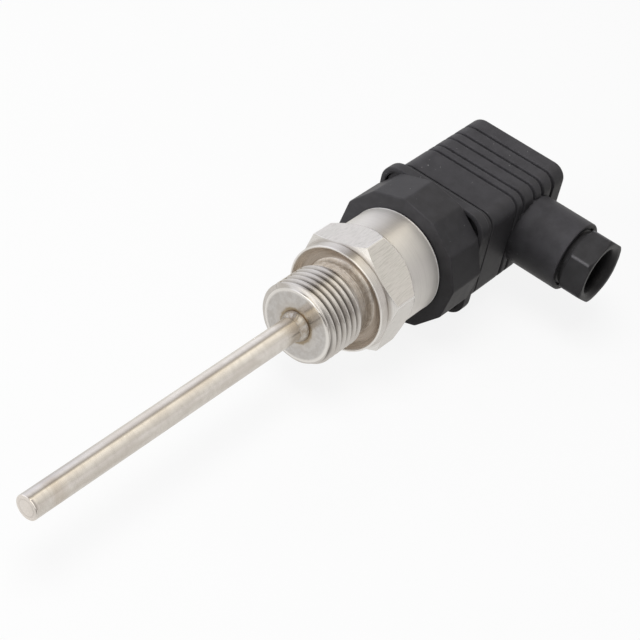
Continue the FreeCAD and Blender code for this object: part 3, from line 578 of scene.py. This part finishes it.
class Nodes:
    """Short-hands for a node tree. A value is a number, a tuple or another node's output."""

    def __init__(self, tree):
        self.tree = tree

    def add(self, kind, inputs=None, **settings):
        item = self.tree.nodes.new(kind)
        for key, value in settings.items():
            setattr(item, key, value)
        for key, value in (inputs or {}).items():
            if isinstance(value, bpy.types.NodeSocket):
                self.tree.links.new(value, item.inputs[key])
            else:
                item.inputs[key].default_value = value
        return item

    def math(self, operation, first, second):
        return self.add("ShaderNodeMath", {0: first, 1: second}, operation=operation).outputs[0]

    def times(self, first, second):
        return self.math("MULTIPLY", first, second)

    def plus(self, first, second):
        return self.math("ADD", first, second)

    def vector(self, operation, first, second):
        return self.add("ShaderNodeVectorMath", {0: first, 1: second}, operation=operation).outputs[0]

    def scaled(self, first, scale):
        inputs = {0: first, "Scale": scale}
        return self.add("ShaderNodeVectorMath", inputs, operation="SCALE").outputs[0]

    def combined(self, x, y, z=0.0):
        return self.add("ShaderNodeCombineXYZ", {0: x, 1: y, 2: z}).outputs[0]

    def length(self, x, y):
        inputs = {0: self.combined(x, y)}
        return self.add("ShaderNodeVectorMath", inputs, operation="LENGTH").outputs[1]

    def window(self, value, low, high, out_low=0.0, out_high=1.0):
        """A smooth step from out_low, where the value is low, to out_high, where it is high."""
        inputs = {"Value": value, "From Min": low, "From Max": high, "To Min": out_low, "To Max": out_high}
        return self.add("ShaderNodeMapRange", inputs, interpolation_type="SMOOTHSTEP").outputs[0]

    def mix(self, share, first, second):
        inputs = {0: share, 6: opaque(first), 7: opaque(second)}
        return self.add("ShaderNodeMix", inputs, data_type="RGBA").outputs[2]

    def layered(self, colour, layers):
        """A colour with others laid over it in turn. A layer is (mask, colour)."""
        for mask, over in layers:
            colour = self.mix(mask, colour, over)
        return colour

    def either(self, share, first, second):
        """The second shader where the share is 1, and the first where it is 0."""
        return self.add("ShaderNodeMixShader", {0: share, 1: first, 2: second}).outputs[0]


class Paint(Nodes):
    """A material with a principled shader. Places are in millimetres, on the sensor's axes."""

    def __init__(self, name, sockets=None):
        self.material = bpy.data.materials.new(name)
        self.material.use_nodes = True
        super().__init__(self.material.node_tree)
        self.shader = self.tree.nodes["Principled BSDF"]
        for label, value in (sockets or {}).items():
            self.shader.inputs[label].default_value = value
        self.place = self.scaled(self.add("ShaderNodeTexCoord").outputs["Object"], 1 / MM)
        self.along, self.across, self.up = self.add("ShaderNodeSeparateXYZ", {0: self.place}).outputs
        self.radius = self.length(self.across, self.up)

    def noise(self, place, scale, detail=2.0, roughness=0.5):
        inputs = {"Vector": place, "Scale": scale, "Detail": detail, "Roughness": roughness}
        return self.add("ShaderNodeTexNoise", inputs).outputs["Fac"]

    def band(self, value, rise, fall):
        """A mask that rises over one pair of numbers and falls over the other."""
        return self.times(self.window(value, *rise), self.window(value, *fall))

    def link(self, output, socket):
        self.tree.links.new(output, self.shader.inputs[socket])

    def bump(self, height, strength, distance):
        inputs = {"Height": height, "Strength": strength, "Distance": distance}
        self.link(self.add("ShaderNodeBump", inputs).outputs[0], "Normal")


def brushed(name, stretch, turn, metallic=1.0, roughness=0.2):
    """Steel whose highlights stretch across fine marks. A turn of 0.25 is for marks round the axis."""
    paint = Paint(name, {"Metallic": metallic, "Roughness": roughness, "Anisotropic": stretch,
                         "Anisotropic Rotation": turn})
    round_axis = paint.add("ShaderNodeTangent", direction_type="RADIAL", axis="X")
    paint.link(round_axis.outputs[0], "Tangent")
    return paint


def turned_steel(name):
    """Lathe-turned stainless steel: bright nose, satin thread and barrel, stained dish, heat tint, painted
    shade in the thread's grooves, and painted highlights on the nose edge, the collar rim, the hexagon's
    corners and the barrel's lip.
    """
    paint = brushed(name, 0.93, 0.25)
    along = paint.along
    radius = paint.radius
    rings = paint.combined(paint.times(along, 7.0), paint.times(radius, 7.0))
    lines = paint.noise(paint.vector("ADD", rings, paint.scaled(paint.place, 0.05)), 1.0, 4.0, 0.65)
    broad = paint.noise(paint.place, 0.22, 3.0, 0.55)
    smoke = paint.noise(paint.place, 0.9, 3.0, 0.6)
    smoky = paint.window(smoke, 0.35, 0.65)
    reach = paint.plus(radius, paint.times(smoke, 1.2))

    face = paint.window(along, -13.7, -13.9)
    straw = paint.times(paint.window(reach, 7.4, 5.2), face)
    brown = paint.times(paint.window(reach, 5.6, 4.85), face)
    # painted highlight: a light ring of colour on the nose face's edge
    nose_edge_highlight = paint.times(paint.band(radius, (8.3, 8.95), (9.45, 9.3)), face)
    threaded = paint.band(along, (-13.4, -13.2), (-2.4, -2.9))
    # painted shade: the thread's grooves are darkened in their colour
    groove_shade = paint.times(paint.window(radius, 10.15, 9.4), threaded)
    neck = paint.times(paint.band(along, (-2.3, -1.8), (2.5, 2.3)), paint.window(radius, 9.8, 9.55))
    dish = paint.times(paint.window(along, 0.1, 0.6), paint.band(radius, (9.5, 9.9), (13.1, 12.9)))
    # painted highlight: a light ring of colour on the collar rim's edge
    rim = paint.times(paint.window(along, 0.35, 0.2), paint.window(radius, 12.95, 13.05))
    # painted highlight: the hexagon's corners are lightened in their colour
    hex_corner_highlight = paint.window(radius, 13.6, 14.4, 0.0, 0.85)
    barrel = paint.window(along, 12.0, 12.7)
    # painted highlight: a thin bright ring of colour at the barrel's end
    lip_highlight = paint.times(paint.window(along, 21.95, 22.1), paint.window(radius, 13.0, 13.2))
    tooled = paint.times(paint.window(lines, 0.48, 0.62, 0.0, 0.5), paint.math("MAXIMUM", dish, neck))

    colour = paint.layered(STEEL, [
        (paint.window(broad, 0.35, 0.7), STEEL_DULL),
        (paint.times(barrel, 0.8), BARREL_STEEL),
        (paint.window(lines, 0.5, 0.75, 0.0, 0.35), TURNING_LINE),
        (paint.times(groove_shade, 0.9), GROOVE_SHADE),
        (paint.times(face, 0.8), paint.mix(smoky, *NOSE_WORN)),
        (paint.times(straw, 0.25), HEAT_STRAW),
        (brown, HEAT_BROWN),
        (paint.times(dish, 0.9), paint.mix(paint.window(radius, 11.3, 12.3), *DISH_STAINED)),
        (neck, paint.mix(smoky, *NECK_STAINED)),
        (tooled, TOOL_MARK),
        (nose_edge_highlight, STEEL_EDGE_HIGHLIGHT),
        (hex_corner_highlight, HEX_CORNER_HIGHLIGHT),
        (lip_highlight, BARREL_LIP_HIGHLIGHT),
        (rim, STEEL_EDGE_HIGHLIGHT)])
    paint.link(colour, "Base Color")
    satin = paint.times(paint.window(along, -13.4, -13.2), 0.10)
    rough = paint.plus(paint.window(lines, 0.3, 0.7, 0.15, 0.22), satin)
    paint.link(paint.plus(rough, paint.times(barrel, 0.13)), "Roughness")
    dull = paint.plus(paint.times(barrel, 0.09), paint.times(lip_highlight, 0.05))
    paint.link(paint.math("SUBTRACT", 1.0, paint.plus(dull, paint.times(neck, 0.35))), "Metallic")
    paint.bump(lines, 0.08, 0.00002)
    return paint.material


def milled_steel(name):
    """The hexagon's flats: milling marks nearly along the sensor, in lighter and darker streaks."""
    paint = brushed(name, 0.6, 0.03, roughness=0.24)
    leaning = paint.times(paint.along, -0.05)
    streaks = paint.combined(paint.times(paint.along, 0.35),
                             paint.times(paint.plus(paint.across, leaning), 6.0),
                             paint.times(paint.plus(paint.up, leaning), 6.0))
    marks = paint.noise(streaks, 1.0)
    patch = paint.noise(paint.place, 0.25)
    colour = paint.layered(STEEL, [
        (paint.window(patch, 0.35, 0.65, 0.0, 0.5), MILLED_PATCH),
        (paint.window(marks, 0.45, 0.75, 0.0, 0.8), MILLING_MARK)])
    paint.link(colour, "Base Color")
    paint.bump(marks, 0.06, 0.00002)
    return paint.material


def stem_steel(name):
    """Ground tube with rubs and a brown band, straw colour at the weld, and a ringed tip face."""
    paint = brushed(name, 0.4, 0.25, metallic=0.93)
    along = paint.along
    lines = paint.noise(paint.combined(paint.times(along, 0.12), paint.across, paint.up), 7.0, 3.0, 0.6)
    broad = paint.noise(paint.vector("MULTIPLY", paint.place, (0.12, 0.5, 0.5)), 1.0)
    rubs = paint.noise(paint.vector("MULTIPLY", paint.place, (0.9, 0.4, 0.4)), 1.0)
    heat = paint.window(paint.plus(along, paint.times(broad, 5.0)), -20.0, -13.5)
    drifted = paint.plus(along, paint.times(rubs, 3.0))
    band = paint.band(drifted, (-92.5, -90.0), (-86.5, -89.0))
    far_side = paint.window(paint.across, 0.2, 1.3, 0.0, 0.5)
    end = paint.window(along, -97.3, -97.5, 0.0, 0.85)
    ring = paint.band(paint.radius, (1.75, 1.95), (2.35, 2.1))
    colour = paint.layered(paint.mix(paint.window(broad, 0.3, 0.7), *STEM_TONES), [
        (paint.window(rubs, 0.35, 0.75, 0.0, 0.35), STEM_RUB),
        (paint.times(heat, 0.6), STEM_HEAT),
        (paint.times(band, 0.45), STEM_BAND),
        (paint.times(far_side, paint.window(drifted, -66.0, -88.0)), STEM_SHADE),
        (end, TIP_FACE),
        (paint.times(ring, end), TIP_RING)])
    paint.link(colour, "Base Color")
    polish = paint.window(along, -92.0, -66.0, 0.15, 0.21)
    paint.link(paint.plus(polish, paint.window(rubs, 0.4, 0.7, 0.0, 0.05)), "Roughness")
    paint.bump(lines, 0.06, 0.00002)
    return paint.material


def weld_steel(name):
    """Uneven melted steel, burnt dark where it meets the nose."""
    paint = Paint(name, {"Metallic": 1.0})
    cloud = paint.noise(paint.place, 1.1, 3.0, 0.6)
    burnt = paint.window(paint.along, -14.25, -14.02)
    paint.link(paint.mix(burnt, paint.mix(paint.window(cloud, 0.35, 0.65), *WELD_TONES), WELD_BURN),
               "Base Color")
    paint.link(paint.window(cloud, 0.3, 0.7, 0.2, 0.36), "Roughness")
    paint.bump(paint.noise(paint.place, 4.0, 3.0), 0.1, 0.0001)
    return paint.material


def dust(paint):
    """A mask of pale specks, larger and smaller in patches."""
    cells = paint.add("ShaderNodeTexVoronoi", {"Vector": paint.place, "Scale": 0.55, "Randomness": 1.0})
    patch = paint.noise(paint.vector("ADD", paint.place, (17.0, 5.0, 9.0)), 0.6, 1.0)
    dot = paint.math("LESS_THAN", cells.outputs["Distance"], paint.window(patch, 0.45, 0.75, 0.02, 0.065))
    return paint.times(dot, 0.55)


def moulded(name, value, roughness, violet=0.0, grain=1.0, specks=True, corner=0.0):
    """Moulded black plastic: fine spark-eroded grain, faint flow marks and a little pale dust.

    A corner is the distance from the outlet's axis beyond which corners get a painted highlight, a lighter
    grey.
    """
    paint = Paint(name, {"Specular IOR Level": 0.17})
    fine = paint.noise(paint.place, 5.5, 3.0, 0.7)
    coarse = paint.noise(paint.place, 0.35, 3.0, 0.55)
    layers = [
        (paint.window(coarse, 0.3, 0.7), grey(value * 1.3, violet)),
        (paint.window(fine, 0.62, 0.8, 0.0, 0.35), grey(value * 2.0, violet))]
    if specks:
        layers.append((dust(paint), grey(0.55)))
    if corner:
        # painted highlight: corners far from the outlet's axis are lightened in their colour
        reach = paint.length(paint.math("SUBTRACT", paint.along, OUTLET), paint.up)
        reach = paint.plus(reach, paint.times(fine, 0.3))
        corner_highlight = paint.window(reach, corner - 0.05, corner + 0.2, 0.0, 0.8)
        layers.append((corner_highlight, grey(0.11, violet)))
    paint.link(paint.layered(grey(value, violet), layers), "Base Color")
    rough = paint.window(paint.plus(fine, paint.times(coarse, 0.6)), 0.5, 1.1, roughness - 0.07,
                         roughness + 0.07)
    paint.link(rough, "Roughness")
    paint.bump(fine, 0.22 * grain, 0.00008)
    return paint.material


def simple(name, colour, roughness, metallic=0.0, scale=3.0, strength=0.08):
    """A finish for the small inner pieces: one colour, gently varied, with a fine surface."""
    paint = Paint(name, {"Metallic": metallic})
    cloud = paint.noise(paint.place, scale * 0.3, 3.0, 0.55)
    fine = paint.noise(paint.place, scale * 2.0)
    darker = tuple(part * 0.82 for part in colour)
    paint.link(paint.mix(paint.window(cloud, 0.3, 0.7), colour, darker), "Base Color")
    paint.link(paint.window(fine, 0.3, 0.7, roughness * 0.85, roughness * 1.15), "Roughness")
    paint.bump(fine, strength, 0.00006)
    return paint.material


# Pieces and their finishes

def dress(item, finish):
    """Give an object one finish."""
    item.data.materials.clear()
    item.data.materials.append(finish)


def mill_flats(item, finish):
    """Give the hexagon's six flats a finish of their own."""
    most_degrees_off = 1.5
    most_slope = 0.05
    item.data.materials.append(finish)
    for face in item.data.polygons:
        angle = math.degrees(math.atan2(face.normal.z, face.normal.y))
        off = abs((angle - HEX_TURN) % 60 - 30)
        flat = abs(face.normal.x) < most_slope and off < most_degrees_off
        if flat and HEX_FRONT_CONE[0][0] < face.center.x / MM < HEX_REAR_CONE[1][0]:
            face.material_index = 1


def dress_nodes(finish, *names):
    """Give CAD nodes that stay visible a finish."""
    for name in names:
        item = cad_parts[name]
        if not item.material_slots:
            item.data.materials.append(finish)
        for slot in item.material_slots:
            slot.material = finish


def stand_for(item, finish, body, slot, *nodes):
    """Finish a piece, let it ride on its body, and hide the CAD nodes that it stands for."""
    dress(item, finish)
    flatten = item.modifiers.new("normals", "WEIGHTED_NORMAL")
    flatten.keep_sharp = True
    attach(item, body)
    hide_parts(*nodes)


def outer_pieces(zinc):
    """The nine shaped pieces, which stand for the nodes that show, and for the fixing screw."""
    drawn = stem_steel("drawn_steel")
    black = moulded("ring_plastic", 0.024, 0.50, violet=0.05)
    housing_black = moulded("housing_plastic", 0.026, 0.48, violet=0.06)
    nut_black = moulded("nut_plastic", 0.017, 0.40, violet=0.04, grain=0.5, corner=9.15)
    fitting = process_fitting()
    stand_for(fitting, turned_steel("turned_steel"), "sensor", "stainless", "process_fitting")
    mill_flats(fitting, milled_steel("milled_steel"))
    tube, tip = stem()
    stand_for(tube, drawn, "sensor", "stainless", "stem_tube")
    stand_for(tip, drawn, "sensor", "stainless", "stem_tip")
    stand_for(weld(), weld_steel("weld_steel"), "sensor", "weld_tint", "weld_bead")
    stand_for(twelve_sided_ring(), black, "sensor", "black_plastic", "twelve_sided_ring")
    stand_for(plug_base(), black, "sensor", "black_plastic", "plug_base")
    stand_for(socket_housing(), housing_black, "socket", "black_plastic", "socket_housing")
    stand_for(gland_nut(), nut_black, "gland", "nut_plastic", "gland_nut")
    stand_for(fixing_screw(), zinc, "screw", "screw_steel", "fixing_screw")


def inner_pieces(zinc):
    """Finishes for the CAD nodes that stay: what sits inside or shows only when it is taken apart."""
    silver = simple("silver_contact", (0.72, 0.70, 0.66), 0.28, metallic=1.0)
    rubber = simple("seal_rubber", (0.022, 0.022, 0.023), 0.62, scale=5.0, strength=0.2)
    carrier = moulded("carrier_plastic", 0.045, 0.45, specks=False)
    ceramic = simple("ceramic", (0.82, 0.80, 0.74), 0.55)
    brass = simple("turned_brass", (0.71, 0.53, 0.27), 0.3, metallic=1.0)
    nylon = simple("natural_nylon", (0.72, 0.70, 0.64), 0.42)
    board = simple("board_green", (0.03, 0.16, 0.07), 0.35)
    parts = simple("board_parts", (0.04, 0.04, 0.045), 0.5)
    dress_nodes(silver, "contact_pin_1", "contact_pin_2", "contact_pin_3", "ground_pin", "lead_wires")
    dress_nodes(silver, "socket_contact_1", "socket_contact_2", "socket_contact_3", "socket_ground")
    dress_nodes(zinc, "terminal_screw_1", "terminal_screw_2", "terminal_screw_3", "terminal_screw_4")
    dress_nodes(rubber, "profile_gasket", "body_oring", "screw_seal", "cable_seal")
    dress_nodes(ceramic, "sensing_element", "insulator_rod")
    dress_nodes(carrier, "terminal_insert")
    dress_nodes(brass, "screw_bush")
    dress_nodes(nylon, "thrust_washer")
    dress_nodes(board, "transmitter_board")
    dress_nodes(parts, "board_components")


# Floor and light

FLOOR_HALF = 6.0
FLOOR_GAP = 0.0005
CAMERA_GLOW = 0.88
FLOOR_MIRRORED = ((0.61, 0.585, 0.555), (0.80, 0.785, 0.765))
SKY_OUTLET_SIDE = grey(0.10)
SKY_FAR_SIDE = grey(0.40)
# What steel mirrors round the sensor's axis: turn from +Y towards +Z in degrees, and a colour
MIRRORED = (
    (-180, (0.84, 0.82, 0.81)), (-60, (0.95, 0.95, 0.96)), (-20, (0.74, 0.73, 0.73)),
    (5, (0.98, 0.98, 1.0)), (32, (0.96, 0.955, 1.0)), (52, (0.66, 0.64, 0.65)), (66, (0.34, 0.31, 0.28)),
    (75, (0.58, 0.53, 0.45)), (84, (1.20, 1.12, 0.98)), (104, (1.12, 1.07, 0.98)),
    (124, (0.92, 0.89, 0.84)), (140, (0.81, 0.79, 0.75)), (151, (0.74, 0.72, 0.70)),
    (163, (0.85, 0.825, 0.815)), (180, (0.84, 0.82, 0.81)))
# Ahead of the tip stands a bright panel with a dark place low down, and a dimmer gap lies beside
# the socket on the cable outlet's side.
FRONT_DARK = (0.13, 0.12, 0.11)
FRONT_BRIGHT = (1.45, 1.42, 1.38)
SIDE_DARK = (0.48, 0.455, 0.44)


def floor():
    """Pale floor under the sensor. The camera sees it nearly white, with a faint shadow."""
    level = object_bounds()[0][2] - FLOOR_GAP
    corners = [(-FLOOR_HALF, -FLOOR_HALF, level), (FLOOR_HALF, -FLOOR_HALF, level),
               (FLOOR_HALF, FLOOR_HALF, level), (-FLOOR_HALF, FLOOR_HALF, level)]
    item = mesh_object("floor", corners, [(0, 1, 2, 3)])
    paint = Paint("pale_floor", {"Roughness": 0.9})
    paint.link(paint.mix(paint.noise(paint.place, 0.05), grey(0.46), grey(0.48)), "Base Color")
    seen = paint.add("ShaderNodeLightPath")
    white = paint.add("ShaderNodeEmission", {"Color": opaque(WHITE), "Strength": 1.0})
    glow = paint.times(seen.outputs["Is Camera Ray"], CAMERA_GLOW)
    lit = paint.either(glow, paint.shader.outputs[0], white.outputs[0])
    ahead = paint.times(paint.window(paint.along, -100.0, -140.0), paint.window(paint.across, 14.0, 2.0))
    tone = paint.layered(FLOOR_MIRRORED[0], [
        (paint.window(paint.along, -260.0, 60.0), FLOOR_MIRRORED[1]),
        (ahead, FRONT_DARK)])
    mirrored = paint.add("ShaderNodeEmission", {"Color": tone, "Strength": 1.0})
    whole = paint.either(seen.outputs["Is Glossy Ray"], lit, mirrored.outputs[0])
    paint.tree.links.new(whole, paint.tree.nodes["Material Output"].inputs["Surface"])
    dress(item, paint.material)
    item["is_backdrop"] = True


def area_light(name, place, size, power):
    """A rectangular lamp that points at the origin. Steel doesn't mirror it."""
    data = bpy.data.lights.new(name, "AREA")
    data.shape = "RECTANGLE"
    data.size = size[0]
    data.size_y = size[1]
    data.energy = power
    item = bpy.data.objects.new(name, data)
    facing = (-Vector(place)).to_track_quat("-Z", "Y")
    item.matrix_world = Matrix.Translation(place) @ facing.to_matrix().to_4x4()
    item.visible_glossy = False
    bpy.context.scene.collection.objects.link(item)


def mirrored_bands(nodes, along, across, up):
    """The colour that steel mirrors in a direction: bands along the sensor, and the gaps in them."""
    turn = nodes.math("ARCTAN2", up, across)
    whole_turn = {"Value": turn, "From Min": -math.pi, "From Max": math.pi}
    ramp = nodes.add("ShaderNodeValToRGB", {0: nodes.add("ShaderNodeMapRange", whole_turn).outputs[0]})
    stops = ramp.color_ramp.elements
    stops[0].color = opaque(MIRRORED[0][1])
    stops[1].color = opaque(MIRRORED[-1][1])
    for angle, colour in MIRRORED[1:-1]:
        stops.new((angle + 180) / 360).color = opaque(colour)
    low_front = nodes.times(nodes.window(up, 0.18, 0.04), nodes.window(across, 0.16, 0.02))
    ahead = nodes.mix(low_front, FRONT_BRIGHT, FRONT_DARK)
    beside = nodes.times(nodes.window(along, 0.05, 0.2), nodes.window(along, 0.52, 0.38))
    return nodes.layered(ramp.outputs[0], [
        (nodes.times(beside, nodes.window(across, 0.12, -0.14)), SIDE_DARK),
        (nodes.window(along, -0.80, -0.93), ahead)])


def light():
    """Soft studio light from two lamps and the sky. Steel mirrors bands instead of the sky."""
    world = bpy.data.worlds.new("studio")
    bpy.context.scene.world = world
    world.use_nodes = True
    nodes = Nodes(world.node_tree)
    world.node_tree.nodes.remove(world.node_tree.nodes["Background"])

    def backdrop(colour):
        return nodes.add("ShaderNodeBackground", {"Color": colour, "Strength": 1.0}).outputs[0]

    direction = nodes.add("ShaderNodeTexCoord").outputs["Generated"]
    along, across, up = nodes.add("ShaderNodeSeparateXYZ", {0: direction}).outputs
    sky = backdrop(nodes.mix(nodes.window(across, -0.7, 0.7), SKY_OUTLET_SIDE, SKY_FAR_SIDE))
    bands = backdrop(mirrored_bands(nodes, along, across, up))
    seen = nodes.add("ShaderNodeLightPath")
    unseen = nodes.either(seen.outputs["Is Glossy Ray"], sky, bands)
    whole = nodes.either(seen.outputs["Is Camera Ray"], unseen, backdrop(opaque(WHITE)))
    world.node_tree.links.new(whole, world.node_tree.nodes["World Output"].inputs["Surface"])
    area_light("key", (-0.10, 0.10, 0.80), (0.6, 0.5), 9.4)
    area_light("fill", (-0.70, 0.38, 0.16), (0.4, 0.3), 8.5)


camera()
zinc_steel = simple("zinc_screw", (0.66, 0.67, 0.69), 0.32, metallic=1.0)
outer_pieces(zinc_steel)
inner_pieces(zinc_steel)
floor()
light()
bpy.context.scene.view_settings.view_transform = "Standard"
